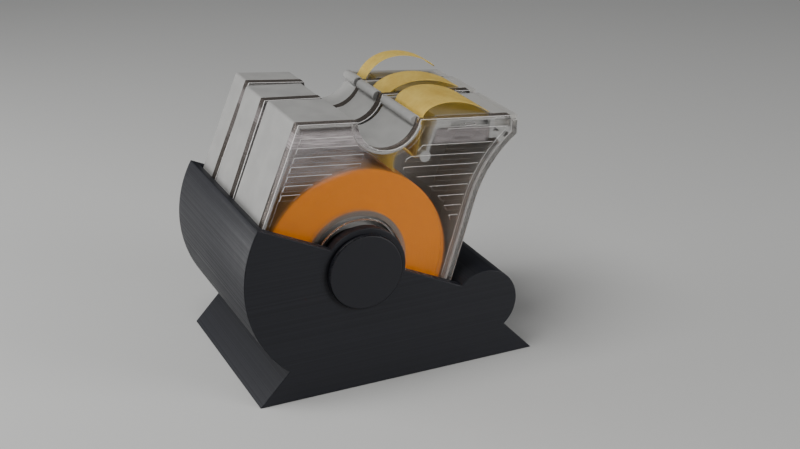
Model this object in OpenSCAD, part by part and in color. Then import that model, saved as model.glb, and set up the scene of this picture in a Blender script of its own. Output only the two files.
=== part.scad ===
// Masking tape dispenser: three tilting tape cassettes on one axle in a cradle.
// Millimetres. X runs from the curved back to the nose bar, Y from the knob to the far plate, Z up.
// The origin is the middle of the cradle's footprint, on the surface that it stands on.

/* [Tapes] */
// Width of the wide masking tape
wide_tape_w = 18; // [14:1:22]
// Width of the medium masking tape
medium_tape_w = 10; // [8:1:14]
// Width of the narrow masking tape
narrow_tape_w = 6; // [5:0.5:8]
// Outer radius of a full tape roll
roll_r = 27.6; // [24:0.1:30]
// Outer radius of the core that the tape is wound on
core_r = 15.5; // [14:0.1:18]
// Wall of the core
core_t = 1.6; // [1.2:0.1:2]
// Thickness of a free strip of tape
tape_t = 0.2; // [0.1:0.05:0.3]

/* [Cradle] */
// Clearance between the cassettes' round undersides and the trough
trough_gap = 2.3; // [2:0.1:4]
// Thickness of the curved back wall
drum_wall = 2.5; // [2:0.1:4]
// Thickness of each end plate
plate_t = 3; // [2:0.1:4]
// Thickness of the base under the curved back's lowest line
base_under = 0.8; // [0:0.1:2]
// How far the base's back corner lies inside the curved back
back_tuck = 3; // [1:0.1:8]
// How far the base's front corner lies beyond the nose bar
front_toe = 5.6; // [2:0.1:7]
// Slope of the foot at each end of the base, in degrees
foot_slope = 46.5; // [40:0.5:55]
// Height of the sloped cut above the axle, square to the cut
cut_above = 3.1; // [2:0.1:4]
// Angle of the sloped cut below horizontal
cut_angle = 25.1; // [23:0.1:27]
// Radius of the nose bar that stops the cassettes
nose_r = 10.4; // [9:0.1:12.5]
// Clearance between the nose bar and the cassettes' round undersides
nose_gap = 1.4; // [0.5:0.05:2]
// Direction of the nose bar from the axle, in degrees below horizontal
nose_angle = 25.35; // [24:0.05:27]
// Clearance between the lobe round each axle bore and the collar behind it
lobe_gap = 0.4; // [0.3:0.05:1]

/* [Axle pin] */
// Radius of the axle pin
pin_r = 9; // [7:0.1:10]
// How far the pin's flat head reaches past the pin
head_over = 2.1; // [1.2:0.1:2.5]
// Thickness of the pin's flat head
head_t = 1.3; // [1:0.1:2.5]
// Radial clearance between the pin and the plates
plate_fit = 0.05; // [0.02:0.01:0.1]
// Radial clearance between the pin and the cassettes
hub_fit = 0.08; // [0.03:0.01:0.1]

/* [Cassettes] */
// Clearance between a full roll and the side wall round it
roll_gap = 1.3; // [0.8:0.1:2]
// Thickness of a cassette's side walls
case_wall = 1.5; // [1:0.1:1.8]
// How far the cassette's rear edge stands out past its round underside
rear_out = 1.6; // [1:0.1:1.9]
// Lean of the rear edge towards the notch, in degrees
rear_lean = 4.6; // [3:0.1:6]
// Thickness of a cassette's rear wall
back_t = 1.5; // [1:0.1:2]
// Thickness of the clear cover
cover_t = 1.2; // [0.8:0.1:1.6]
// Depth of the cover with its skirt
skirt_d = 3; // [2.4:0.1:3.6]
// Thickness of the cover's skirt, which laps over a lip of the tray
skirt_t = 0.75; // [0.6:0.05:0.9]
// Clearance on each side of a tape roll
side_gap = 1.5; // [1.2:0.1:2]
// Clearance beside each cassette
unit_gap = 0.725; // [0.6:0.025:1]
// Radius of the finger notch
notch_r = 9.5; // [8:0.1:11]
// Distance of the notch's middle behind the axle
notch_back = 3.4; // [2.5:0.1:4.5]
// Clearance between a full roll and the wall of the notch, where the tape passes
notch_gap = 4.6; // [4:0.1:6]
// Height of the notch's middle above the top edge
notch_above = 1.1; // [0.5:0.1:2]
// Rise of the top edge towards the teeth, in degrees
top_slope = 11.7; // [10:0.1:13]
// Reach of the toothed tip past the side wall
tip_reach = 5.5; // [4.5:0.1:6.5]
// Lean of the tip's front face, in degrees
tip_lean = 16; // [13:0.5:19]
// Radius of the hollow flare below the tip
flare_r = 36; // [32:0.5:42]
// Height of the flare from its foot to the tip
flare_h = 26.6; // [24:0.1:30]
// Radius of the rounded bar at the tape exit
lip_r = 1.5; // [1.2:0.1:1.8]
// Gap between the rounded bar and the guide wall, where the tape leaves
exit_gap = 4.2; // [3.6:0.1:4.6]
// Wall of the hub that carries the core
hub_wall = 0.8; // [0.8:0.1:1.4]
// Tilt of the wide cassette in the photographed rest pose
wide_tilt = 17.5; // [12:0.25:20]
// Tilt of the medium cassette in the photographed rest pose
medium_tilt = 16.8; // [12:0.25:20]
// Tilt of the narrow cassette in the photographed rest pose
narrow_tilt = 18.25; // [12:0.25:20]

/* [Cover ribs] */
// Height of the ribs and borders on the clear cover
rib_h = 0.3; // [0.2:0.05:0.4]
// Width of a rib
rib_w = 1.6; // [1:0.1:2]
// Spacing of the ribs behind the notch
back_rib_pitch = 2.6; // [2.4:0.05:3]
// Number of ribs behind the notch
back_ribs = 7; // [3:1:8]
// Spacing of the ribs in front of the notch
front_rib_pitch = 3.05; // [2.6:0.05:3.4]
// Number of ribs in front of the notch
front_ribs = 8; // [3:1:9]

/* [Cutters] */
// Spacing of the cutter teeth
tooth_pitch = 1.2; // [1:0.1:1.6]
// Height of the cutter teeth
tooth_h = 1.1; // [0.8:0.1:1.3]
// Thickness of the toothed strip
tooth_t = 1.2; // [0.8:0.1:1.5]

/* [Hidden] */
$fn = 96;

// Overrun of every cut past the face that it opens
cut = 1;
// Small clearance between pieces of one cassette that are fitted together
seat = 0.05;

// Cassettes from the knob side: 0 wide, 1 medium, 2 narrow
tape_ws = [wide_tape_w, medium_tape_w, narrow_tape_w];
tilts = [wide_tilt, medium_tilt, narrow_tilt];
function unit_w(k) = cover_t + 2 * side_gap + tape_ws[k] + back_t;
function units_before(k) = k == 0 ? 0 : units_before(k - 1) + unit_w(k - 1) + unit_gap;
inner_w = units_before(len(tape_ws)) + unit_gap;
base_w = inner_w + 2 * plate_t;
function unit_front(k) = -inner_w / 2 + unit_gap + units_before(k);
roll_front = cover_t + side_gap;

function down(angle) = [sin(angle), -cos(angle)];
function along(angle) = [cos(angle), sin(angle)];

// Cradle, seen from the knob side
case_r = roll_r + roll_gap + case_wall;
trough_r = case_r + trough_gap;
drum_r = trough_r + drum_wall;
nose_from_axle = (case_r + nose_gap + nose_r) * along(-nose_angle);
axle_back = drum_r - back_tuck;
nose_to_end = nose_r + front_toe;
base_l = axle_back + nose_from_axle[0] + nose_to_end;
axle_x = axle_back - base_l / 2;
axle_z = drum_r + base_under;
nose_x = axle_x + nose_from_axle[0];
nose_z = axle_z + nose_from_axle[1];
function cut_z(x) = axle_z + cut_above / cos(cut_angle) - (x - axle_x) * tan(cut_angle);
// Where a foot that rises from the base's corner p in direction d ends on the round c of radius r
function foot(p, d, c, r) = p + d * reach(p, d, c, r);
back_foot = foot([-base_l / 2, 0], along(foot_slope), [axle_x, axle_z], drum_r);
front_foot = foot([base_l / 2, 0], along(180 - foot_slope), [nose_x, nose_z], nose_r);

// Hub
core_fit = 0.08;
hub_r = core_r - core_t - core_fit;
collar_r = hub_r - hub_wall;
lobe_r = collar_r - lobe_gap;
bore_r = pin_r + hub_fit;
recess_d = 6;
hub_front = 3.4;
// How much wider the cover's round hole is than the recess behind it
hole_over = 0.5;

// Axle pin
head_r = pin_r + head_over;
head_gap = 0.2;
head_edge = 0.3;
pin_edge = 0.6;

// Cassette outline: u forward and v up from the axle, before the tilt
notch_v = roll_r + notch_gap + case_wall + notch_r;
function top_v(u) = notch_v - notch_above + (u + notch_back) * tan(top_slope);
tip_top = [case_r + tip_reach, top_v(case_r + tip_reach)];
flare_centre = [case_r + flare_r, tip_top[1] - flare_h];
// Where the line from p in direction d first meets the circle round c with radius r
function reach(p, d, c, r) = (c - p) * d - sqrt(((c - p) * d) ^ 2 - (c - p) * (c - p) + r ^ 2);
// Where the line from p in direction d crosses the line from q in direction e
function crossing(p, d, q, e) = p + d * ((q - p) * [e[1], -e[0]]) / (d * [e[1], -e[0]]);
function top_point(inset) = [0, top_v(0) - inset / cos(top_slope)];
// A place given by its distance behind the tip and its drop below the top edge, square to it
function at_tip(back, drop) = tip_top - back * along(top_slope) + drop * down(top_slope);
function tip_point(inset) = tip_top - inset * along(tip_lean);
function tip_end(inset) = let (p = tip_point(inset))
    p + down(tip_lean) * reach(p, down(tip_lean), flare_centre, flare_r + inset);
flare_steps = 10;
function flare_angle(inset) = asin((tip_end(inset)[1] - flare_centre[1]) / (flare_r + inset));
function flare(inset) = [
    for (i = [0 : flare_steps])
        let (a = flare_angle(inset) * (1 - i / flare_steps))
            flare_centre - (flare_r + inset) * [cos(a), -sin(a)]
];
// Rear edge, and below it the heel where it turns in to the round underside
rear_r = case_r + rear_out;
heel_angle = acos(case_r / rear_r) - rear_lean;
function rear_point(inset) = (rear_r - inset) * along(180 - rear_lean);
function heel_point(inset) = (case_r - inset) * along(180 + heel_angle);
function upper_outline(inset) = concat(
    [heel_point(inset)],
    [crossing(rear_point(inset), along(90 - rear_lean), heel_point(inset), along(90 + heel_angle))],
    [crossing(rear_point(inset), along(90 - rear_lean), top_point(inset), along(top_slope))],
    [crossing(tip_point(inset), down(tip_lean), top_point(inset), along(top_slope))],
    flare(inset),
    [[case_r - inset, 0]]
);

// Tape exit: the lip bar, the guide wall with its round post, the ledge and the tip block
lip_past = 0.1;
lip_below = 0.3;
lip = [notch_r - notch_back + lip_past, notch_v - lip_below];
wall_t = 1.2;
wall_lean = 1.1;
exit_u = lip[0] + lip_r + exit_gap;
post = [exit_u + wall_t / 2 - wall_lean, notch_v - notch_r];
post_r = 1.7;
ledge_d = 3.2;
block_back = 8.2;
block_lean = 0.4;
block_drop = 6.8;
foot_back = 5.5;
foot_tip_back = 3.5;
foot_drop = 9.5;
window_drop = 2;
// Blind hollows in the ledge and in the tip block
hollow_d = 1.3;
hollow_past = 4.6;
hollow_top = 1.35;
hollow_bottom = 2.8;
hollow_back = 8.7;
heel_hole_front = 4.8;
heel_hole_drop = 4.85;
pocket_r = 0.85;
pocket_back = 2.5;
pocket_drop = 5.9;

// Cutter: a wedge let into the tip, with the comb of teeth bedded along its top edge
wedge_back = 6.55;
wedge_heel = 6.1;
wedge_drop = 3.65;
strip_back = 2;
tooth_root = 0.7;
comb_bite = 0.2;
comb_proud = 0.1;

// Cover borders and ribs
border_w = 1.8;
line_w = 0.7;
line_in = 3;
rib_first = 4.6;
front_rib_first = 8.2;
rib_inset = 2;
window_in = 0.8;
window_r = case_r - window_in;
rim_w = 2.1;
back_rib_end = 8.1;
front_rib_end = 5;
rib_side_in = 4.2;
// Snap latch of the cover: a ring round a slot, over the hollow in the ledge
latch_back = 14.9;
latch_drop = 1.9;
latch_l = 6.1;
latch_h = 1.8;
slot_l = 3.4;
slot_h = 0.6;
slot_d = 0.6;

// Tape path: the slack loop from the roll round the post, then the arch above the exit
strip_gap = 0.3;
loop_angle = 82;
loop_back = 6.4;
loop_rise = 0.9;
bend_steps = 12;
// Where each arch starts, past the lip bar and below the top edge
start_past = [0.4, 1.6, 0.35];
start_below = [0.1, 0.8, 0.55];
// Where each arch ends, behind the tip and above the top edge
end_back = [7.3, 4.1, 6];
end_above = [0.2, 0.2, 3.2];
// Direction and length of the handles at both ends of each arch
start_angles = [88, 60, 80];
start_lengths = [4.6, 4.3, 11.9];
end_angles = [159, 168, 146];
end_lengths = [10.2, 12.4, 5.2];

// A flat shape given in u and v, drawn from y front to y back
module slab(front, back) {
    translate([0, back, 0])
        rotate([90, 0, 0])
            linear_extrude(back - front)
                children();
}

module in_unit(k) {
    translate([axle_x, unit_front(k), axle_z])
        rotate([0, tilts[k], 0])
            children();
}

module cradle_side() {
    intersection() {
        union() {
            translate([axle_x, axle_z])
                circle(r = drum_r);
            polygon([
                [-base_l / 2, 0],
                back_foot,
                [axle_x, cut_z(axle_x)],
                [nose_x, cut_z(nose_x)],
                front_foot,
                [base_l / 2, 0]
            ]);
        }
        polygon([
            [-base_l, 0],
            [-base_l, cut_z(-base_l)],
            [base_l / 2, cut_z(base_l / 2)],
            [base_l / 2, 0]
        ]);
    }
    translate([nose_x, nose_z])
        circle(r = nose_r);
}

module cradle() {
    color("#3c3f45")
    difference() {
        union() {
            difference() {
                slab(-base_w / 2, base_w / 2)
                    cradle_side();
                slab(-inner_w / 2, inner_w / 2)
                    difference() {
                        translate([axle_x, axle_z])
                            circle(r = trough_r);
                        translate([nose_x, nose_z])
                            circle(r = nose_r);
                    }
            }
            for (side = [-1, 1])
                translate([axle_x, side * (base_w - plate_t) / 2, axle_z])
                    rotate([90, 0, 0])
                        cylinder(r = lobe_r, h = plate_t, center = true);
        }
        translate([axle_x, 0, axle_z])
            rotate([90, 0, 0])
                cylinder(r = pin_r + plate_fit, h = base_w + 2 * cut, center = true);
    }
}

module axle_pin() {
    color("#44474d")
    translate([axle_x, -base_w / 2 - head_gap - head_t, axle_z])
        rotate([-90, 0, 0])
            rotate_extrude()
                polygon([
                    [0, 0],
                    [head_r - head_edge, 0],
                    [head_r, head_edge],
                    [head_r, head_t],
                    [pin_r, head_t],
                    [pin_r, head_t + head_gap + base_w - pin_edge],
                    [pin_r - pin_edge, head_t + head_gap + base_w],
                    [0, head_t + head_gap + base_w]
                ]);
}

// The outline of a cassette, drawn in by inset all round
module face(inset) {
    difference() {
        union() {
            circle(r = case_r - inset);
            polygon(upper_outline(inset));
        }
        translate([-notch_back, notch_v])
            circle(r = notch_r + inset);
    }
}

// The gap in the top wall through which the tape leaves
module exit_window() {
    polygon([
        [lip[0], top_v(lip[0]) - window_drop],
        [exit_u, top_v(exit_u) - window_drop],
        [exit_u, top_v(exit_u) + cut],
        [lip[0], top_v(lip[0]) + cut]
    ]);
}

// Guide wall, round post, ledge and tip block in one piece
module exit_works() {
    difference() {
        union() {
            polygon([
                post - [wall_t / 2, 0],
                [exit_u, top_v(exit_u)],
                [exit_u + wall_t, top_v(exit_u + wall_t)],
                post + [wall_t / 2, 0]
            ]);
            translate(post)
                circle(r = post_r);
            polygon([
                [exit_u, top_v(exit_u)],
                [exit_u, top_v(exit_u) - ledge_d / cos(top_slope)],
                at_tip(block_back, ledge_d),
                at_tip(block_back, 0)
            ]);
            polygon([
                at_tip(block_back, 0),
                at_tip(block_back - block_lean, block_drop),
                at_tip(foot_back, block_drop),
                at_tip(foot_tip_back, foot_drop),
                [tip_top[0] + case_wall, at_tip(0, block_drop)[1]],
                tip_top + [case_wall, 0]
            ]);
        }
        cutter_wedge(seat);
    }
}

// Hollow of the ledge, hole at the heel of the wedge and round pocket
module works_hollows() {
    polygon([
        [exit_u + hollow_past, top_v(exit_u + hollow_past) - hollow_top / cos(top_slope)],
        [exit_u + hollow_past, top_v(exit_u + hollow_past) - hollow_bottom / cos(top_slope)],
        at_tip(hollow_back - block_lean, hollow_bottom),
        at_tip(hollow_back, hollow_top)
    ]);
    polygon([
        at_tip(wedge_heel, wedge_drop),
        at_tip(wedge_heel + block_lean, heel_hole_drop),
        at_tip(heel_hole_front, heel_hole_drop)
    ]);
    translate(at_tip(pocket_back, pocket_drop))
        circle(r = pocket_r);
}

module cutter_wedge(grow) {
    offset(delta = grow)
        polygon([
            at_tip(wedge_back, 0),
            at_tip(wedge_heel, wedge_drop),
            crossing(tip_top, down(tip_lean), at_tip(0, wedge_drop), along(top_slope)),
            tip_top
        ]);
}

module tooth_envelope(grow) {
    polygon([
        at_tip(strip_back + grow, -cut),
        at_tip(strip_back + grow, tooth_t + grow),
        at_tip(-cut, tooth_t + grow),
        at_tip(-cut, -cut)
    ]);
}

module case_body(k) {
    w = unit_w(k);
    color("#b9b8b4")
    difference() {
        union() {
            difference() {
                union() {
                    slab(skirt_d, w)
                        face(0);
                    slab(cover_t + seat, skirt_d + seat)
                        face(skirt_t + seat);
                }
                slab(cover_t, w - back_t)
                    face(case_wall);
                slab(cover_t, w - back_t)
                    exit_window();
            }
            slab(hub_front, w - cut / 2)
                circle(r = hub_r);
            slab(cover_t + seat, skirt_d + seat)
                intersection() {
                    exit_works();
                    face(skirt_t + seat);
                }
            slab(skirt_d, w - cut / 2)
                intersection() {
                    exit_works();
                    face(0);
                }
            slab(skirt_d, w)
                translate(lip)
                    circle(r = lip_r);
        }
        translate([0, -cut, 0])
            rotate([-90, 0, 0])
                cylinder(r = collar_r, h = recess_d + cut);
        rotate([-90, 0, 0])
            cylinder(r = bore_r, h = w + cut);
        slab(-cut, w - back_t)
            tooth_envelope(seat);
        slab(skirt_d - cut, w - back_t)
            cutter_wedge(seat);
        slab(-cut, cover_t + hollow_d)
            works_hollows();
    }
}

module rib_bars(first, pitch, count) {
    for (i = [0 : count - 1])
        translate([0, top_v(0) - (first + i * pitch) / cos(top_slope)])
            rotate(top_slope)
                square([2 * (case_r + tip_top[0]), rib_w], center = true);
}

module back_rib_shape() {
    difference() {
        intersection() {
            face(rib_inset);
            rib_bars(rib_first, back_rib_pitch, back_ribs);
            translate([-rear_r, 0])
                square([rear_r - back_rib_end, 2 * case_r]);
        }
        circle(r = window_r);
        translate([-notch_back, notch_v])
            circle(r = notch_r + rim_w);
    }
}

module front_rib_shape() {
    difference() {
        intersection() {
            face(rib_side_in);
            rib_bars(front_rib_first, front_rib_pitch, front_ribs);
            translate([front_rib_end, 0])
                square([2 * case_r, 2 * case_r]);
        }
        circle(r = window_r);
        translate([-notch_back, notch_v])
            circle(r = notch_r + rim_w);
    }
}

// A long hole with round ends, lying along the top edge
module long_hole(l, h) {
    translate(at_tip(latch_back, latch_drop))
        rotate(top_slope) {
            square([l - h, h], center = true);
            for (side = [-1, 1])
                translate([side * (l - h) / 2, 0])
                    circle(r = h / 2);
        }
}

module cover_body(k) {
    color("#d9dbe0", 0.45)
    difference() {
        union() {
            slab(0, cover_t)
                face(0);
            slab(cover_t - seat, skirt_d)
                difference() {
                    face(0);
                    face(skirt_t);
                }
            slab(-rib_h, seat)
                difference() {
                    face(0);
                    face(border_w);
                }
            slab(-rib_h, seat)
                intersection() {
                    difference() {
                        face(line_in);
                        face(line_in + line_w);
                    }
                    translate([case_r / 2, 0])
                        square([2 * case_r, 2 * case_r]);
                }
            slab(-rib_h, seat)
                back_rib_shape();
            slab(-rib_h, seat)
                front_rib_shape();
            slab(-rib_h, seat)
                long_hole(latch_l, latch_h);
        }
        slab(-rib_h - cut, slot_d)
            long_hole(slot_l, slot_h);
        slab(roll_front - side_gap / 2, skirt_d + cut)
            exit_window();
        slab(-rib_h - cut, skirt_d + cut)
            tooth_envelope(seat);
        translate([0, -cut, 0])
            rotate([-90, 0, 0])
                cylinder(r = collar_r + hole_over, h = cover_t + 2 * cut);
    }
}

module cutter_body(k) {
    back = unit_w(k) - back_t - seat;
    comb_w = back - 2 * seat;
    teeth = floor(comb_w / tooth_pitch);
    step = comb_w / teeth;
    color("#e6e3dc")
    union() {
        slab(skirt_d + seat, back)
            difference() {
                cutter_wedge(0);
                tooth_envelope(-comb_bite);
            }
        translate([tip_top[0], seat, tip_top[1]])
            rotate([0, -top_slope, 0])
                translate([0, 0, comb_proud - tooth_t])
                    linear_extrude(tooth_t)
                        polygon(concat(
                            [[-strip_back, 0]],
                            [
                                for (i = [0 : teeth - 1])
                                    each [
                                        [-tooth_root, i * step],
                                        [tooth_h - tooth_root, (i + 0.5) * step]
                                    ]
                            ],
                            [
                                [-tooth_root, comb_w],
                                [-strip_back, comb_w]
                            ]
                        ));
    }
}

module core_body(k) {
    color("#b08a62")
    translate([0, roll_front, 0])
        rotate([-90, 0, 0])
            difference() {
                cylinder(r = core_r, h = tape_ws[k]);
                translate([0, 0, -cut])
                    cylinder(r = hub_r + core_fit, h = tape_ws[k] + 2 * cut);
            }
}

module roll_body(k) {
    color("#f2a43c")
    translate([0, roll_front, 0])
        rotate([-90, 0, 0])
            difference() {
                cylinder(r = roll_r, h = tape_ws[k]);
                translate([0, 0, -cut])
                    cylinder(r = core_r, h = tape_ws[k] + 2 * cut);
            }
}

// Points along a smooth bend from a to just short of d, with the handles b and c
function bend(a, b, c, d) = [
    for (i = [0 : bend_steps - 1])
        let (t = i / bend_steps)
            (1 - t) ^ 3 * a + 3 * (1 - t) ^ 2 * t * b + 3 * (1 - t) * t ^ 2 * c + t ^ 3 * d
];

function side_step(points, i) =
    let (before = points[max(i - 1, 0)], after = points[min(i + 1, len(points) - 1)], d = after - before)
        [-d[1], d[0]] / norm(d) * tape_t / 2;

module ribbon(points) {
    last = len(points) - 1;
    polygon(concat(
        [for (i = [0 : last]) points[i] + side_step(points, i)],
        [for (i = [last : -1 : 0]) points[i] - side_step(points, i)]
    ));
}

// The slack loop: off the roll, round below the lip bar and back to the post
loop_start = (roll_r + strip_gap + tape_t / 2) * along(loop_angle);
loop_top = post + [-loop_back, loop_rise];
post_face = [post[0] - post_r - strip_gap - tape_t / 2, post[1]];
loop_out = [2, 3];
loop_lean = [2.2, 0.4];
post_pull = 3;
rise_pull = 4;

function arch_start(k) = let (u = lip[0] + lip_r + start_past[k]) [u, top_v(u) - start_below[k]];
function arch_end(k) = let (u = tip_top[0] - end_back[k]) [u, top_v(u) + end_above[k]];
function strip_path(k) = concat(
    bend(loop_start, loop_start + [-loop_out[0], loop_out[1]], loop_top - loop_lean, loop_top),
    bend(loop_top, loop_top + loop_lean, post_face + [0, -post_pull], post_face),
    bend(
        post_face,
        post_face + [0, rise_pull],
        arch_start(k) - post_pull * along(start_angles[k]),
        arch_start(k)
    ),
    bend(
        arch_start(k),
        arch_start(k) + start_lengths[k] * along(start_angles[k]),
        arch_end(k) + end_lengths[k] * along(end_angles[k]),
        arch_end(k)
    ),
    [arch_end(k)]
);

module strip_body(k) {
    color("#f4e3a0")
    slab(roll_front, roll_front + tape_ws[k])
        ribbon(strip_path(k));
}

module wide_case() { in_unit(0) case_body(0); }
module wide_cover() { in_unit(0) cover_body(0); }
module wide_cutter() { in_unit(0) cutter_body(0); }
module wide_core() { in_unit(0) core_body(0); }
module wide_tape_roll() { in_unit(0) roll_body(0); }
module wide_tape_strip() { in_unit(0) strip_body(0); }
module medium_case() { in_unit(1) case_body(1); }
module medium_cover() { in_unit(1) cover_body(1); }
module medium_cutter() { in_unit(1) cutter_body(1); }
module medium_core() { in_unit(1) core_body(1); }
module medium_tape_roll() { in_unit(1) roll_body(1); }
module medium_tape_strip() { in_unit(1) strip_body(1); }
module narrow_case() { in_unit(2) case_body(2); }
module narrow_cover() { in_unit(2) cover_body(2); }
module narrow_cutter() { in_unit(2) cutter_body(2); }
module narrow_core() { in_unit(2) core_body(2); }
module narrow_tape_roll() { in_unit(2) roll_body(2); }
module narrow_tape_strip() { in_unit(2) strip_body(2); }

cradle();
axle_pin();
wide_case();
wide_cover();
wide_cutter();
wide_core();
wide_tape_roll();
wide_tape_strip();
medium_case();
medium_cover();
medium_cutter();
medium_core();
medium_tape_roll();
medium_tape_strip();
narrow_case();
narrow_cover();
narrow_cutter();
narrow_core();
narrow_tape_roll();
narrow_tape_strip();
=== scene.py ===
import math
import random

import bmesh
import bpy
from mathutils import Matrix, Vector


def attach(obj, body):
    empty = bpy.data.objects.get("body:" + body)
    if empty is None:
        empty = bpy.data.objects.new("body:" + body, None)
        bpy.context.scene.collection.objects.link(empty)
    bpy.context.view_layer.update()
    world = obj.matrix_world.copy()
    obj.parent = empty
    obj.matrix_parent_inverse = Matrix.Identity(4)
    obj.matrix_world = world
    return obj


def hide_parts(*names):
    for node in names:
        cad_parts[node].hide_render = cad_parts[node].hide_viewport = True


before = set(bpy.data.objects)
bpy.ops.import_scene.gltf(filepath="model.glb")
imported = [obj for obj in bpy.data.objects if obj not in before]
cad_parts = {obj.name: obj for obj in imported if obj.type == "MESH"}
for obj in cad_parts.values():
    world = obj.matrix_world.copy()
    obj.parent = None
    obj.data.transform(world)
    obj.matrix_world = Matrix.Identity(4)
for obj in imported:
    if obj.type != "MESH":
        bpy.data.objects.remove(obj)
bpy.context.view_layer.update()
scene = bpy.context.scene

# Camera
# It stands in front of the knob side, a little to the left, and looks down on the dispenser. Its place,
# turn and lens are fitted to the dispenser's own edges and circles.

camera_place = Vector((-0.150422, -0.355735, 0.199667))
camera_turn = math.radians(-24.774)
camera_dip = math.radians(22.925)
camera_roll = math.radians(-0.318)
camera_sensor = 36
camera_lens = 63.307
camera_near = 0.01
upright = math.radians(90)

camera = bpy.data.objects.new("camera", bpy.data.cameras.new("camera"))
camera.matrix_world = (
    Matrix.Translation(camera_place)
    @ Matrix.Rotation(camera_turn, 4, "Z")
    @ Matrix.Rotation(upright - camera_dip, 4, "X")
    @ Matrix.Rotation(camera_roll, 4, "Z")
)
camera.data.sensor_width = camera_sensor
camera.data.lens = camera_lens
camera.data.clip_start = camera_near
scene.collection.objects.link(camera)
scene.camera = camera

# Table and studio light
# A plain pale table under three softboxes. The low one on the left gives the bright left sides and the
# sheen of the curved back, the one on the right lights the front, and the one overhead the tops.

light_aim = Vector((0, 0, 0.035))
# Each softbox: its place, its width in metres, its power in watts and its colour
softboxes = {
    "left_softbox": ((-0.4, 0.18, 0.07), 0.24, 1.55, (1, 1, 1)),
    "right_softbox": ((0.6, -0.62, 0.22), 0.4, 4.6, (1, 0.99, 0.98)),
    "top_softbox": ((-0.25, -0.05, 0.6), 0.35, 2.9, (1, 1, 0.99)),
}
backdrop_colour = (0.86, 0.88, 0.92, 1)
backdrop_light = 0.1
backdrop_seen = 0.42
table_reach = 4
table_grey = (0.62, 0.62, 0.61)
table_gloss = (0.55, 0.7)


def put(tree, kind, values=None, **settings):
    """Adds a node. values maps an input's name or number to a number, a colour or another node's output."""
    made = tree.nodes.new(kind)
    for name, value in settings.items():
        setattr(made, name, value)
    for name, value in (values or {}).items():
        if isinstance(value, bpy.types.NodeSocket):
            tree.links.new(value, made.inputs[name])
        else:
            made.inputs[name].default_value = value
    return made


def sums(tree, operation, *terms):
    """The output of a Math node on these terms."""
    return put(tree, "ShaderNodeMath", dict(enumerate(terms)), operation=operation).outputs[0]


def spread(tree, value, low, high, source_low=0, source_high=1):
    """Takes a value from the source's range to the range from low to high, and no further."""
    values = {"Value": value, "From Min": source_low, "From Max": source_high, "To Min": low, "To Max": high}
    return put(tree, "ShaderNodeMapRange", values).outputs[0]


def blended(tree, share, low, high):
    """A mix of two colours: low where share is 0, high where it is 1."""
    low, high = [(*end, 1) if isinstance(end, tuple) else end for end in (low, high)]
    return put(tree, "ShaderNodeMix", {0: share, 6: low, 7: high}, data_type="RGBA").outputs[2]


def noise(tree, place, scale, detail, roughness=0.5):
    """Soft random grey in space, with scale features to the metre."""
    values = {"Vector": place, "Scale": scale, "Detail": detail, "Roughness": roughness}
    return put(tree, "ShaderNodeTexNoise", values).outputs[0]


def finish_of(name, colour, roughness):
    """A new material with its tree, its main shader and the place on the piece that is shaded."""
    material = bpy.data.materials.new(name)
    material.use_nodes = True
    tree = material.node_tree
    shader = tree.nodes["Principled BSDF"]
    shader.inputs["Base Color"].default_value = (*colour, 1)
    shader.inputs["Roughness"].default_value = roughness
    place = put(tree, "ShaderNodeTexCoord").outputs["Object"]
    return material, tree, shader, place


for name, (place, size, watts, colour) in softboxes.items():
    lamp = bpy.data.objects.new(name, bpy.data.lights.new(name, "AREA"))
    lamp.data.size = size
    lamp.data.energy = watts
    lamp.data.color = colour
    lamp.location = place
    lamp.rotation_euler = (light_aim - Vector(place)).to_track_quat("-Z", "Y").to_euler()
    scene.collection.objects.link(lamp)

world = bpy.data.worlds.new("studio")
world.use_nodes = True
backdrop = world.node_tree.nodes["Background"]
backdrop.inputs["Color"].default_value = backdrop_colour
seen = put(world.node_tree, "ShaderNodeLightPath").outputs["Is Camera Ray"]
glow = spread(world.node_tree, seen, backdrop_light, backdrop_seen)
world.node_tree.links.new(glow, backdrop.inputs["Strength"])
scene.world = world

table_corners = [(x * table_reach, y * table_reach, 0) for x, y in ((-1, -1), (1, -1), (1, 1), (-1, 1))]
table_mesh = bpy.data.meshes.new("table")
table_mesh.from_pydata(table_corners, [], [(0, 1, 2, 3)])
table = bpy.data.objects.new("table", table_mesh)
scene.collection.objects.link(table)
pale_table, tree, shader, place = finish_of("pale_table", table_grey, roughness=0.6)
speck = noise(tree, place, scale=900, detail=3)
tree.links.new(spread(tree, speck, *table_gloss), shader.inputs["Roughness"])
table.data.materials.append(pale_table)

# Cradle
# One piece of dark grey plastic, 3D printed standing on its base. Its layers show as fine level
# lines, which are clearest on the curved back where the wall overhangs.

printed_layer = 0.0002
layer_waver = 0.00002
bead_middle = 0.5
bead_variety = 0.25
own_tone = 0.45
fine_to_broad = 9
fine_marks = 0.35


def effect(name, inputs, outputs):
    """A new shader node group, with what goes into it and what it puts out."""
    group = bpy.data.node_groups.new(name, "ShaderNodeTree")
    for label, value in inputs.items():
        kind = "NodeSocketVector" if value is None else "NodeSocketFloat"
        socket = group.interface.new_socket(label, in_out="INPUT", socket_type=kind)
        if value is not None:
            socket.default_value = value
    for label in outputs:
        group.interface.new_socket(label, in_out="OUTPUT", socket_type="NodeSocketFloat")
    return group, group.nodes.new("NodeGroupInput").outputs, group.nodes.new("NodeGroupOutput").inputs


def use(tree, group, **values):
    """Places an effect in a material, with its own values."""
    node = tree.nodes.new("ShaderNodeGroup")
    node.node_tree = group
    for name, value in values.items():
        if isinstance(value, bpy.types.NodeSocket):
            tree.links.new(value, node.inputs[name])
        else:
            node.inputs[name].default_value = value
    return node.outputs


def noise_along(tree, way, scale, detail=2, roughness=0.5):
    """Soft random grey along one way only."""
    values = {"W": way, "Scale": scale, "Detail": detail, "Roughness": roughness}
    return put(tree, "ShaderNodeTexNoise", values, noise_dimensions="1D").outputs[0]


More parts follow.
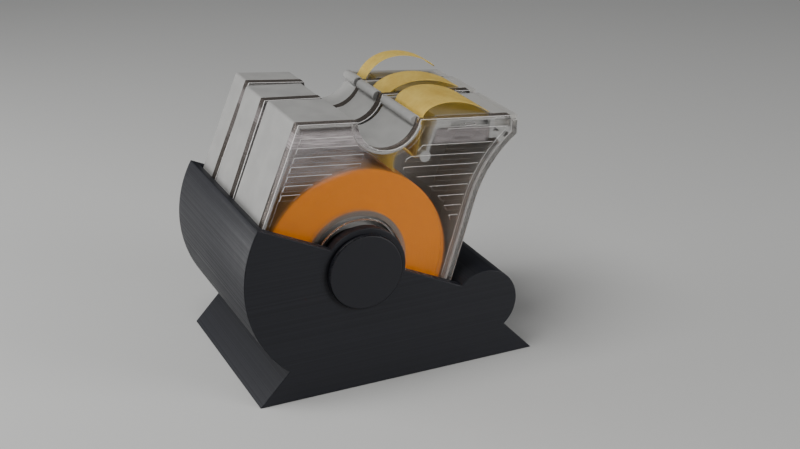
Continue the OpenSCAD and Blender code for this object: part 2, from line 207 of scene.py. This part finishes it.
def mixed(tree, one, other, share):
    """One value by its share and the other by the rest."""
    return sums(tree, "MULTIPLY_ADD", one, share, sums(tree, "MULTIPLY", other, 1 - share))


# Round beads of printed plastic, one on the other, no two quite alike
layer_inputs = {"Along": 0, "Layer": printed_layer, "Waver": layer_waver, "Place": None}
printed_layers, given, made = effect("printed_layers", layer_inputs, ["Height", "Tone"])
drift = noise(printed_layers, given["Place"], scale=60, detail=2)
bent = sums(printed_layers, "MULTIPLY_ADD", drift, given["Waver"], given["Along"])
count = sums(printed_layers, "DIVIDE", bent, given["Layer"])
number = sums(printed_layers, "FLOOR", count)
across = sums(printed_layers, "SUBTRACT", sums(printed_layers, "FRACT", count), bead_middle)
fall = sums(printed_layers, "POWER", sums(printed_layers, "ABSOLUTE", across), 2)
bead = sums(printed_layers, "SUBTRACT", 1, fall)
own = put(printed_layers, "ShaderNodeTexWhiteNoise", {"W": number}, noise_dimensions="1D").outputs[0]
band = noise_along(printed_layers, count, scale=0.23, detail=3)
printed_layers.links.new(sums(printed_layers, "MULTIPLY_ADD", own, bead_variety, bead), made["Height"])
printed_layers.links.new(mixed(printed_layers, own, band, own_tone), made["Tone"])

# Handling: broad smudges that change the gloss a little, with a few finer marks
handling, given, made = effect("handling", {"Scale": 40, "Place": None}, ["Mask"])
broad = noise(handling, given["Place"], given["Scale"], detail=5)
fine = noise(handling, given["Place"], sums(handling, "MULTIPLY", given["Scale"], fine_to_broad), detail=3)
handling.links.new(mixed(handling, fine, broad, fine_marks), made["Mask"])


def facing_axle(tree):
    """1 on faces that look along the axle, 0 on those that stand along it."""
    normal = put(tree, "ShaderNodeTexCoord").outputs["Normal"]
    return sums(tree, "ABSOLUTE", put(tree, "ShaderNodeSeparateXYZ", {0: normal}).outputs[1])


def relief(tree, shader, height, depth, strength):
    """Bump of this depth in metres on the shader's normal."""
    bump = put(tree, "ShaderNodeBump", {"Height": height, "Distance": depth, "Strength": strength})
    tree.links.new(bump.outputs[0], shader.inputs["Normal"])
    return bump.outputs[0]


printed_dark = (0.0070, 0.0076, 0.0112)
tone_ends = (0.2, 0.8)
step_gloss = (0.56, 0.34)
step_ends = (-0.3, 0.3)
printed_marks = 0.18
printed_shine = 0.32
bead_depth = 0.00004


def printed_plastic(name, light, axis):
    """Printed plastic whose layers are stacked along the axis 0, 1 or 2."""
    material, tree, shader, place = finish_of(name, printed_dark, roughness=0.5)
    along = put(tree, "ShaderNodeSeparateXYZ", {0: place}).outputs[axis]
    layers = use(tree, printed_layers, Along=along, Layer=printed_layer, Place=place)
    marks = use(tree, handling, Scale=55, Place=place)
    tone = spread(tree, layers["Tone"], 0, 1, *tone_ends)
    tree.links.new(blended(tree, tone, printed_dark, light), shader.inputs["Base Color"])
    side_on = sums(tree, "SUBTRACT", 1, facing_axle(tree))
    steps = sums(tree, "MULTIPLY", side_on, sums(tree, "SUBTRACT", layers["Tone"], bead_middle))
    gloss = spread(tree, steps, *step_gloss, *step_ends)
    rough = sums(tree, "MULTIPLY_ADD", marks["Mask"], printed_marks, gloss)
    tree.links.new(rough, shader.inputs["Roughness"])
    shader.inputs["Specular IOR Level"].default_value = printed_shine
    relief(tree, shader, sums(tree, "MULTIPLY", layers["Height"], side_on), bead_depth, strength=0.6)
    return material


# An edge is sharp from this turn on, and stands along the axle by this share of its length
sharp_from = math.radians(35)
along_axle_share = 0.95
long_edge = 0.003
far_face_depth = 0.0002
# The small works at a tray's exit lie past and above these places
works_from_x = 0.006
works_from_z = 0.058


def edge_rounding(name, fine_share):
    """Geometry nodes that say how far each sharp outer edge is rounded: in full round the far face and
    on long edges along the axle, outside the works at the exit, and elsewhere by fine_share."""
    tree = bpy.data.node_groups.new(name, "GeometryNodeTree")
    tree.interface.new_socket("Geometry", in_out="INPUT", socket_type="NodeSocketGeometry")
    tree.interface.new_socket("Geometry", in_out="OUTPUT", socket_type="NodeSocketGeometry")
    shape = tree.nodes.new("NodeGroupInput").outputs[0]
    ends = put(tree, "GeometryNodeInputMeshEdgeVertices").outputs
    one, other = ends["Position 1"], ends["Position 2"]
    first = put(tree, "ShaderNodeSeparateXYZ", {0: one}).outputs
    second = put(tree, "ShaderNodeSeparateXYZ", {0: other}).outputs
    length = put(tree, "ShaderNodeVectorMath", {0: one, 1: other}, operation="DISTANCE").outputs["Value"]
    rise = sums(tree, "ABSOLUTE", sums(tree, "SUBTRACT", first[1], second[1]))
    straight = sums(tree, "GREATER_THAN", rise, sums(tree, "MULTIPLY", length, along_axle_share))
    long_corner = sums(tree, "MULTIPLY", straight, sums(tree, "GREATER_THAN", length, long_edge))
    corner = put(tree, "GeometryNodeBoundBox", {"Geometry": shape}).outputs["Max"]
    far_y = put(tree, "ShaderNodeSeparateXYZ", {0: corner}).outputs[1]
    rear = sums(tree, "SUBTRACT", far_y, far_face_depth)
    far_face = sums(tree, "GREATER_THAN", sums(tree, "MINIMUM", first[1], second[1]), rear)
    past = sums(tree, "GREATER_THAN", first[0], works_from_x)
    above = sums(tree, "GREATER_THAN", first[2], works_from_z)
    elsewhere = sums(tree, "SUBTRACT", 1, sums(tree, "MULTIPLY", past, above))
    full = sums(tree, "MAXIMUM", far_face, sums(tree, "MULTIPLY", long_corner, elsewhere))
    amount = sums(tree, "MULTIPLY_ADD", full, 1 - fine_share, fine_share)
    turn = put(tree, "GeometryNodeInputMeshEdgeAngle").outputs["Signed Angle"]
    outer = sums(tree, "GREATER_THAN", turn, sharp_from)
    values = {"Geometry": shape, "Name": "bevel_weight_edge", "Value": sums(tree, "MULTIPLY", outer, amount)}
    store = put(tree, "GeometryNodeStoreNamedAttribute", values, data_type="FLOAT", domain="EDGE")
    tree.links.new(store.outputs[0], tree.nodes.new("NodeGroupOutput").inputs[0])
    return tree


even_edges = edge_rounding("even_edges", 1)
weld_reach = 0.00001
flat_within = math.radians(0.5)
split_from_corners = 5


def dress(name, material, edge, edges=even_edges, segments=3):
    """Gives a CAD node its material, clean flat faces and softly rounded outer edges."""
    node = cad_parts[name]
    node.data.materials.clear()
    node.data.materials.append(material)
    weld = node.modifiers.new("weld", "WELD")
    weld.merge_threshold = weld_reach
    flat = node.modifiers.new("flat", "DECIMATE")
    flat.decimate_type = "DISSOLVE"
    flat.angle_limit = flat_within
    whole = node.modifiers.new("whole_faces", "TRIANGULATE")
    whole.min_vertices = split_from_corners
    share = node.modifiers.new("edge_share", "NODES")
    share.node_group = edges
    soft = node.modifiers.new("soft_edges", "BEVEL")
    soft.width = edge
    soft.segments = segments
    soft.limit_method = "WEIGHT"
    soft.harden_normals = True
    soft.loop_slide = False
    soft.use_clamp_overlap = False


cradle_edge = 0.00025
cradle_light = (0.0115, 0.0124, 0.0180)
dress("cradle", printed_plastic("cradle_plastic", cradle_light, 2), cradle_edge)

# Axle pin
# The same printed plastic, but printed standing on its flat head, so its layers run round the pin.
# It slides in from the knob side and carries the three cassettes.

pin_edge = 0.0003
pin_light = (0.0110, 0.0118, 0.0170)
dress("axle_pin", printed_plastic("pin_plastic", pin_light, 1), pin_edge)

# Cases
# The tray of each cassette, moulded in light grey plastic with a fine satin face. It has the finger
# notch, the rounded lip bar, the guide wall with its post, and the hub that turns on the pin.

sizes = ["wide", "medium", "narrow"]
case_edge = 0.0006
case_works_share = 0.3
case_grey = (0.38, 0.377, 0.366)
case_grey_deep = (0.335, 0.332, 0.324)
case_gloss = (0.28, 0.5)
mottle_ends = (0.35, 0.65)
satin_depth = 0.000012

case_edges = edge_rounding("case_edges", case_works_share)
case_plastic, tree, shader, place = finish_of("case_plastic", case_grey, roughness=0.36)
marks = use(tree, handling, Scale=70, Place=place)
mottle = spread(tree, noise(tree, place, scale=160, detail=4), 0, 1, *mottle_ends)
tree.links.new(blended(tree, mottle, case_grey_deep, case_grey), shader.inputs["Base Color"])
tree.links.new(spread(tree, marks["Mask"], *case_gloss), shader.inputs["Roughness"])
relief(tree, shader, noise(tree, place, scale=5200, detail=2), satin_depth, strength=0.5)
for size in sizes:
    dress(size + "_case", case_plastic, case_edge, case_edges)

# Covers
# The clear cover clips over the open side of each tray. It is glass-clear moulded plastic with a
# raised border, a fine inner line and raised ribs.

axle_x = -0.010968265
axle_z = 0.036
# Of each cassette: the place of its front along the axle, and its lean at rest
unit_front = [-0.026275, -0.00185, 0.014575]
tilt = [math.radians(17.5), math.radians(16.8), math.radians(18.25)]
# The slope of a tray's top edge, and its height straight above the axle
top_rise = math.tan(math.radians(11.7))
top_over_axle = 0.0421 + 0.0034 * top_rise

cover_edge = 0.00012
clear_tint = (0.97, 0.975, 0.98)
clear_index = 1.49
clear_shine = 0.3
clear_passes = (0.93, 0.93, 0.93, 1)
clear_flats = (0, 0.75, 0.98, 0.998)
frost = (0.25, 0, 0.55, 0.97)
polish = (0, 0.03, 0.3, 0.7)
wave_depth = 0.00001
# How far the raised border and ribs stand out, and from when on a face is seen edge on
raised_by = (0.00002, 0.00012)
edge_on_from = (0.6, 0.92)
# Painted shade on the skirt: a brown tint in its glass and a dull dark coat, light on the wide cassette and
# heavy on the two behind it
skirt_painted_shade_tint = (0.30, 0.25, 0.22)
skirt_painted_shade = (0.075, 0.065, 0.058)
skirt_painted_shade_share = [0.12, 0.6, 0.6]
# Painted highlight on the edges of the raised ribs and border: a white coat over this share of them
rib_highlight_white = (0.9, 0.88, 0.87)
rib_highlight_share = 0.7
# Painted light, as whitish streaks left of the roll: from, to and softness below the top edge, then their
# strength
haze_and_light_white = (0.62, 0.57, 0.58)
painted_light_bands = [((0.0026, 0.0066, 0.0006), 0.42), ((0.0026, 0.017, 0.003), 0.2)]
painted_light_ahead = (-0.012, -0.004)
roll_rim = (0.0274, 0.0286)
streak_draw = 0.07
streak_share = (0.25, 1.5, 0.3, 0.7)
# A plain hazed panel ahead of the roll: from, to and softness
panel_ahead = (0.012, 0.0286, 0.0003)
panel_drop = (0.0033, 0.0074, 0.0002)
panel_milk = 0.22


def window(tree, value, low, high, soft):
    """1 where the value lies between low and high, with soft ends."""
    past_low = spread(tree, value, 0, 1, low - soft, low + soft)
    return sums(tree, "MULTIPLY", past_low, spread(tree, value, 1, 0, high - soft, high + soft))


def from_axle(tree, place):
    """How far a place lies to the front of the axle's centre line, above it and from it."""
    parts = put(tree, "ShaderNodeSeparateXYZ", {0: place}).outputs
    x = sums(tree, "SUBTRACT", parts[0], axle_x)
    z = sums(tree, "SUBTRACT", parts[2], axle_z)
    level = put(tree, "ShaderNodeCombineXYZ", {0: x, 1: z}).outputs[0]
    return x, z, put(tree, "ShaderNodeVectorMath", {0: level}, operation="LENGTH").outputs["Value"]


def panel_haze_and_painted_light(tree, place, k):
    """How much whitish coat lies on the clear plastic: painted light as drawn streaks left of the roll, and
    an even hazed panel ahead of it.
    """
    x, z, reach = from_axle(tree, place)
    c, s = math.cos(tilt[k]), math.sin(tilt[k])
    ahead = sums(tree, "MULTIPLY_ADD", x, c, sums(tree, "MULTIPLY", z, -s))
    over = sums(tree, "MULTIPLY_ADD", x, s, sums(tree, "MULTIPLY", z, c))
    drop = sums(tree, "SUBTRACT", sums(tree, "MULTIPLY_ADD", ahead, top_rise, top_over_axle), over)
    drawn = sums(tree, "MULTIPLY", ahead, streak_draw)
    streak_place = put(tree, "ShaderNodeCombineXYZ", {0: drawn, 1: drop}).outputs[0]
    streak = noise(tree, streak_place, scale=2400, detail=4)
    clear_of_roll = spread(tree, reach, 0, 1, *roll_rim)
    left = sums(tree, "MULTIPLY", clear_of_roll, spread(tree, ahead, 1, 0, *painted_light_ahead))
    narrow, broad = [sums(tree, "MULTIPLY", window(tree, drop, *span), much) for span, much in painted_light_bands]
    painted_light_haze = sums(tree, "MULTIPLY", left, sums(tree, "ADD", narrow, broad))
    panel = sums(tree, "MULTIPLY", window(tree, ahead, *panel_ahead), window(tree, drop, *panel_drop))
    haze_and_light = sums(tree, "MULTIPLY_ADD", panel, panel_milk, painted_light_haze)
    return sums(tree, "MULTIPLY", haze_and_light, spread(tree, streak, *streak_share))


def painted_over(tree, share, under, colour):
    """The shader under, with a flat diffuse colour laid over a share of it: painted shade, painted highlight
    and painted light here, besides the hazed panel.
    """
    painted_layer = put(tree, "ShaderNodeBsdfDiffuse", {"Color": (*colour, 1)}).outputs[0]
    return put(tree, "ShaderNodeMixShader", {0: share, 1: under, 2: painted_layer}).outputs[0]


def clear_cover(k, size):
    """Clear plastic with painted highlights on the rib edges, painted shade on the skirt, painted light as
    milky streaks left of the roll, and the hazed panel of the mould.
    """
    material, tree, shader, place = finish_of(size + "_clear_plastic", clear_tint, roughness=0.03)
    shader.inputs["Transmission Weight"].default_value = 1
    shader.inputs["IOR"].default_value = clear_index
    shader.inputs["Specular IOR Level"].default_value = clear_shine
    marks = use(tree, handling, Scale=45, Place=place)
    square_on = facing_axle(tree)
    rough = sums(tree, "MAXIMUM", spread(tree, square_on, *frost), spread(tree, marks["Mask"], *polish))
    tree.links.new(rough, shader.inputs["Roughness"])
    relief(tree, shader, noise(tree, place, scale=220, detail=2), wave_depth, strength=0.3)
    depth = put(tree, "ShaderNodeSeparateXYZ", {0: place}).outputs[1]
    raised = spread(tree, sums(tree, "SUBTRACT", depth, unit_front[k]), 1, 0, *raised_by)
    edge_on = spread(tree, square_on, 1, 0, *edge_on_from)
    rib_edge = sums(tree, "MULTIPLY", raised, edge_on)
    skirt = sums(tree, "MULTIPLY", sums(tree, "SUBTRACT", 1, raised), edge_on)
    # Painted shade: the skirt's glass is tinted brown
    tree.links.new(blended(tree, skirt, clear_tint, skirt_painted_shade_tint), shader.inputs["Base Color"])
    clear = put(tree, "ShaderNodeBsdfTransparent", {"Color": clear_passes}).outputs[0]
    shadow = put(tree, "ShaderNodeLightPath").outputs["Is Shadow Ray"]
    see_through = sums(tree, "MAXIMUM", shadow, spread(tree, square_on, *clear_flats))
    body = put(tree, "ShaderNodeMixShader", {0: see_through, 1: shader.outputs[0], 2: clear}).outputs[0]
    # Painted light as a whitish coat left of the roll, together with the hazed panel
    body = painted_over(tree, panel_haze_and_painted_light(tree, place, k), body, haze_and_light_white)
    # Painted shade: a dark coat over the skirt, heavier on the medium and narrow cassettes
    body = painted_over(tree, sums(tree, "MULTIPLY", skirt, skirt_painted_shade_share[k]), body, skirt_painted_shade)
    # Painted highlight: a white coat on the edges of the raised ribs and border
    body = painted_over(tree, sums(tree, "MULTIPLY", rib_edge, rib_highlight_share), body, rib_highlight_white)
    tree.links.new(body, tree.nodes["Material Output"].inputs["Surface"])
    return material


for k, size in enumerate(sizes):
    dress(size + "_cover", clear_cover(k, size), cover_edge, segments=2)

# Cutters
# A pale grey wedge let into the tip of each tray, with a comb of fine teeth across the whole width.
# The tape is torn off against the teeth.

cutter_edge = 0.00006
cutter_grey = (0.44, 0.435, 0.415)
cutter_dark = (0.37, 0.365, 0.35)
cutter_light = (0.5, 0.49, 0.465)
cutter_gloss = (0.22, 0.42)

cutter_plastic, tree, shader, place = finish_of("cutter_plastic", cutter_grey, roughness=0.3)
marks = use(tree, handling, Scale=300, Place=place)
tree.links.new(blended(tree, marks["Mask"], cutter_dark, cutter_light), shader.inputs["Base Color"])
tree.links.new(spread(tree, marks["Mask"], *cutter_gloss), shader.inputs["Roughness"])
for size in sizes:
    dress(size + "_cutter", cutter_plastic, cutter_edge, segments=2)

# Cores
# The tube of brown board that the tape is wound on. It is wound of several plies, and is pushed over
# the hub together with its roll.

core_edge = 0.00012
ply = 0.00035
board_brown = (0.36, 0.27, 0.18)
board_dark = (0.13, 0.10, 0.08)
board_light = (0.27, 0.215, 0.175)
board_depth = 0.00006

core_board, tree, shader, place = finish_of("core_board", board_brown, roughness=0.8)
plies = noise_along(tree, sums(tree, "DIVIDE", from_axle(tree, place)[2], ply), scale=1)
share = mixed(tree, noise(tree, place, scale=1600, detail=4), plies, share=0.5)
tree.links.new(blended(tree, share, board_dark, board_light), shader.inputs["Base Color"])
relief(tree, shader, share, board_depth, strength=0.5)
for size in sizes:
    dress(size + "_core", core_board, core_edge, segments=2)

# Tape rolls
# Masking tape wound on its core: hundreds of turns of thin crepe paper. The cut sides show the
# turns as fine rings in deep orange, and the outer turn is the same crepe as the strip, painted a darker
# orange-brown as painted shade.

# Crepe: short soft wrinkles across the tape, with a mottle of about a millimetre
wrinkle_draw = (1, 0.22, 1)
fold_share = 0.7
cloud_share = 0.45
crepe, given, made = effect("crepe", {"Place": None}, ["Height", "Mottle"])
draw_out = {0: given["Place"], 1: wrinkle_draw}
drawn = put(crepe, "ShaderNodeVectorMath", draw_out, operation="MULTIPLY").outputs[0]
wrinkle = noise(crepe, drawn, scale=1900, detail=3)
fold = noise(crepe, drawn, scale=700, detail=2)
blotch = noise(crepe, given["Place"], scale=900, detail=5, roughness=0.62)
cloud = noise(crepe, given["Place"], scale=180, detail=3)
crepe.links.new(sums(crepe, "MULTIPLY_ADD", fold, fold_share, wrinkle), made["Height"])
crepe.links.new(mixed(crepe, cloud, blotch, cloud_share), made["Mottle"])

turn_band = 0.00022
grain_share = 0.4
roll_orange = (0.85, 0.38, 0.08)
side_deep = (0.74, 0.195, 0.002)
side_bright = (0.90, 0.275, 0.004)
# Painted shade: the outer turn is darker than the strip's tan, though it is the same crepe
outer_shaded_deep = (0.42, 0.17, 0.025)
outer_shaded_bright = (0.55, 0.26, 0.05)
ring_ends = (0.3, 0.7)
outer_ends = (0.35, 0.65)
side_ends = (0.4, 0.6)
roll_gloss = (0.5, 0.7)
roll_shine = 0.2
ring_depth = 0.00005

roll_finish, tree, shader, place = finish_of("masking_tape_roll", roll_orange, roughness=0.55)
turns = sums(tree, "DIVIDE", from_axle(tree, place)[2], turn_band)
rings = noise_along(tree, turns, scale=1, detail=3, roughness=0.7)
ring_tone = mixed(tree, noise(tree, place, scale=700, detail=3), rings, grain_share)
side = blended(tree, spread(tree, ring_tone, 0, 1, *ring_ends), side_deep, side_bright)
paper = use(tree, crepe, Place=place)
# Painted shade on the outer turn
outer = blended(tree, spread(tree, paper["Mottle"], 0, 1, *outer_ends), outer_shaded_deep, outer_shaded_bright)
is_side = spread(tree, facing_axle(tree), 0, 1, *side_ends)
tree.links.new(blended(tree, is_side, outer, side), shader.inputs["Base Color"])
tree.links.new(spread(tree, ring_tone, *roll_gloss), shader.inputs["Roughness"])
shader.inputs["Specular IOR Level"].default_value = roll_shine
height = put(tree, "ShaderNodeMix", {0: is_side, 2: paper["Height"], 3: rings}).outputs[0]
relief(tree, shader, height, ring_depth, strength=0.5)

tape_w = [0.018, 0.010, 0.006]
roll_r = 0.0276
core_r = 0.0155
roll_front = 0.0027
roll_inset = 0.00002
band_steps = 0.00007
ring_bands = 26
roll_segments = 180
roll_seed = 11
roll_sharp = math.radians(30)


def made_of(name, mesh, sharp, finish):
    """Makes a piece of this mesh, smooth but for the corners that turn by more than sharp."""
    bmesh.ops.recalc_face_normals(mesh, faces=mesh.faces)
    data = bpy.data.meshes.new(name)
    mesh.to_mesh(data)
    mesh.free()
    data.shade_smooth()
    data.set_sharp_from_angle(angle=sharp)
    data.materials.append(finish)
    piece = bpy.data.objects.new(name, data)
    scene.collection.objects.link(piece)
    return piece


def wound_roll(name, front, width, seed):
    """A ring of wound tape, whose sides step in and out a little from band to band of turns."""
    draw = random.Random(seed)
    low = core_r + roll_inset
    high = roll_r - roll_inset
    radii = [low + (high - low) * i / ring_bands for i in range(ring_bands + 1)]
    ins = [draw.random() * band_steps + roll_inset for _ in range(ring_bands)]
    outs = [draw.random() * band_steps + roll_inset for _ in range(ring_bands)]
    profile = []
    for i in range(ring_bands):
        profile += [(radii[i], front + ins[i]), (radii[i + 1], front + ins[i])]
    for i in reversed(range(ring_bands)):
        profile += [(radii[i + 1], front + width - outs[i]), (radii[i], front + width - outs[i])]
    mesh = bmesh.new()
    loops = []
    for step in range(roll_segments):
        turn = 2 * math.pi * step / roll_segments
        c, s = math.cos(turn), math.sin(turn)
        loops.append([mesh.verts.new((axle_x + r * c, y, axle_z + r * s)) for r, y in profile])
    for step in range(roll_segments):
        here, ahead = loops[step], loops[(step + 1) % roll_segments]
        for i in range(len(profile)):
            j = (i + 1) % len(profile)
            mesh.faces.new((here[i], here[j], ahead[j], ahead[i]))
    return made_of(name, mesh, roll_sharp, roll_finish)


for k, size in enumerate(sizes):
    roll = wound_roll(size + "_wound_roll", unit_front[k] + roll_front, tape_w[k], roll_seed + k)
    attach(roll, size + "_roll")
    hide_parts(size + "_tape_roll")

# Tape strips
# The free end of each roll: one strip of tan crepe paper that hangs in a loop below the lip bar, goes
# up past the post and arches over the exit. Its end is torn along the cutter's teeth.

strip_tan = (0.80, 0.60, 0.24)
tan_deep = (0.74, 0.54, 0.14)
tan_bright = (0.97, 0.78, 0.25)
tan_through = (0.98, 0.84, 0.36, 1)
tan_ends = (0.36, 0.62)
light_through = 0.54
strip_gloss = (0.5, 0.72)
crepe_depth = 0.00006

strip_finish, tree, shader, place = finish_of("masking_tape", strip_tan, roughness=0.62)
paper = use(tree, crepe, Place=place)
tan = blended(tree, spread(tree, paper["Mottle"], 0, 1, *tan_ends), tan_deep, tan_bright)
tree.links.new(tan, shader.inputs["Base Color"])
tree.links.new(spread(tree, paper["Mottle"], *strip_gloss), shader.inputs["Roughness"])
lift = relief(tree, shader, paper["Height"], crepe_depth, strength=0.6)
through = put(tree, "ShaderNodeBsdfTranslucent", {"Color": tan_through, "Normal": lift}).outputs[0]
both = put(tree, "ShaderNodeMixShader", {0: light_through, 1: shader.outputs[0], 2: through}).outputs[0]
tree.links.new(both, tree.nodes["Material Output"].inputs["Surface"])

# From here on the strip is laid out in millimetres, in front of the axle and above it, on a tray that
# doesn't lean. The lip bar, the guide post and the tip are the tray's own.
per_metre = 1000
tape_t = 0.2
strip_gap = 0.3
lip_end = 7.7
tip_u = 35.9
post = Vector((11.4, 33.7))
post_r = 1.7
# Inside the tray, the same for each: off the roll, the low loop, and up the post
off_roll_angle = 82
off_roll = Vector((-2, 3))
loop_from_post = Vector((-6.4, 0.9))
loop_lean = Vector((2.2, 0.4))
to_post = Vector((0, 3))
past_post = Vector((0, 4))
# Wide, medium and narrow: where the strip passes the lip bar, and where its end stands from the tip
rise_past_lip = [0.4, 1.6, 0.35]
rise_below_top = [0.1, 0.8, 0.55]
rise_angle = [88, 60, 80]
rise_hold = 3
end_back = [7.3, 4.1, 6]
end_above_top = [0.2, 0.2, 3.2]
end_angle = [159, 168, 146]
# How far the arch follows those two angles
arch_start = [4.6, 4.3, 11.9]
arch_end = [10.2, 12.4, 5.2]
loop_steps = 24
arch_steps = 48


def top_v(u):
    """Height of a tray's top edge at a place in front of the axle."""
    return top_over_axle * per_metre + u * top_rise


def along(angle):
    """A step of 1 mm at this angle in degrees."""
    return Vector((math.cos(math.radians(angle)), math.sin(math.radians(angle))))


def bend(a, b, c, d, steps):
    """Points on a smooth bend from a to just short of d."""
    points = []
    for i in range(steps):
        t = i / steps
        points.append((1 - t) ** 3 * a + 3 * (1 - t) ** 2 * t * b + 3 * (1 - t) * t ** 2 * c + t ** 3 * d)
    return points


def strip_line(k):
    """The strip's middle line as the tray holds it: off the roll, round the post and over the exit."""
    start = (roll_r * per_metre + strip_gap + tape_t / 2) * along(off_roll_angle)
    loop = post + loop_from_post
    at_post = post - Vector((post_r + strip_gap + tape_t / 2, 0))
    rise_u = lip_end + rise_past_lip[k]
    rise = Vector((rise_u, top_v(rise_u) - rise_below_top[k]))
    rise_way = along(rise_angle[k])
    end_u = tip_u - end_back[k]
    end = Vector((end_u, top_v(end_u) + end_above_top[k]))
    end_way = along(end_angle[k])
    points = bend(start, start + off_roll, loop - loop_lean, loop, loop_steps)
    points += bend(loop, loop + loop_lean, at_post - to_post, at_post, loop_steps)
    points += bend(at_post, at_post + past_post, rise - rise_hold * rise_way, rise, loop_steps)
    points += bend(rise, rise + arch_start[k] * rise_way, end + arch_end[k] * end_way, end, arch_steps)
    return points + [end]


def in_model(k, point, y):
    """A point of the strip of cassette k in the model's frame, in metres and with the cassette's lean."""
    c, s = math.cos(tilt[k]), math.sin(tilt[k])
    ahead = (point.x * c + point.y * s) / per_metre
    over = (point.y * c - point.x * s) / per_metre
    return (axle_x + ahead, y, axle_z + over)


across_steps = 30
thickness_share = 0.9
side_inset = 0.0004
tooth_depth = 0.7
tooth_pitch = 0.0012
strip_sharp = math.radians(40)


def tape_strip(name, k):
    """A thin ribbon along the strip's line, with its end torn in points."""
    line = strip_line(k)
    last = len(line) - 1
    mesh = bmesh.new()
    faces = []
    for side in (0.5, -0.5):
        rows = []
        for i, point in enumerate(line):
            way = (line[min(i + 1, last)] - line[max(i - 1, 0)]).normalized()
            out = Vector((-way.y, way.x)) * tape_t * side * thickness_share
            row = []
            for j in range(across_steps + 1):
                y = tape_w[k] * (side_inset + j / across_steps * (1 - 2 * side_inset))
                spot = point + out
                if i == last:
                    spot = spot - way * tooth_depth * abs(2 * (y / tooth_pitch % 1) - 1)
                row.append(mesh.verts.new(in_model(k, spot, unit_front[k] + roll_front + y)))
            rows.append(row)
        faces.append(rows)
    top, under = faces
    edge = across_steps
    for i in range(last):
        for j in range(edge):
            mesh.faces.new((top[i][j], top[i][j + 1], top[i + 1][j + 1], top[i + 1][j]))
            mesh.faces.new((under[i][j], under[i + 1][j], under[i + 1][j + 1], under[i][j + 1]))
        mesh.faces.new((top[i][0], top[i + 1][0], under[i + 1][0], under[i][0]))
        mesh.faces.new((top[i][edge], under[i][edge], under[i + 1][edge], top[i + 1][edge]))
    for j in range(edge):
        mesh.faces.new((top[0][j], under[0][j], under[0][j + 1], top[0][j + 1]))
        mesh.faces.new((top[last][j], top[last][j + 1], under[last][j + 1], under[last][j]))
    return made_of(name, mesh, strip_sharp, strip_finish)


for k, size in enumerate(sizes):
    strip = tape_strip(size + "_crepe_strip", k)
    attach(strip, size + "_cassette")
    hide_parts(size + "_tape_strip")
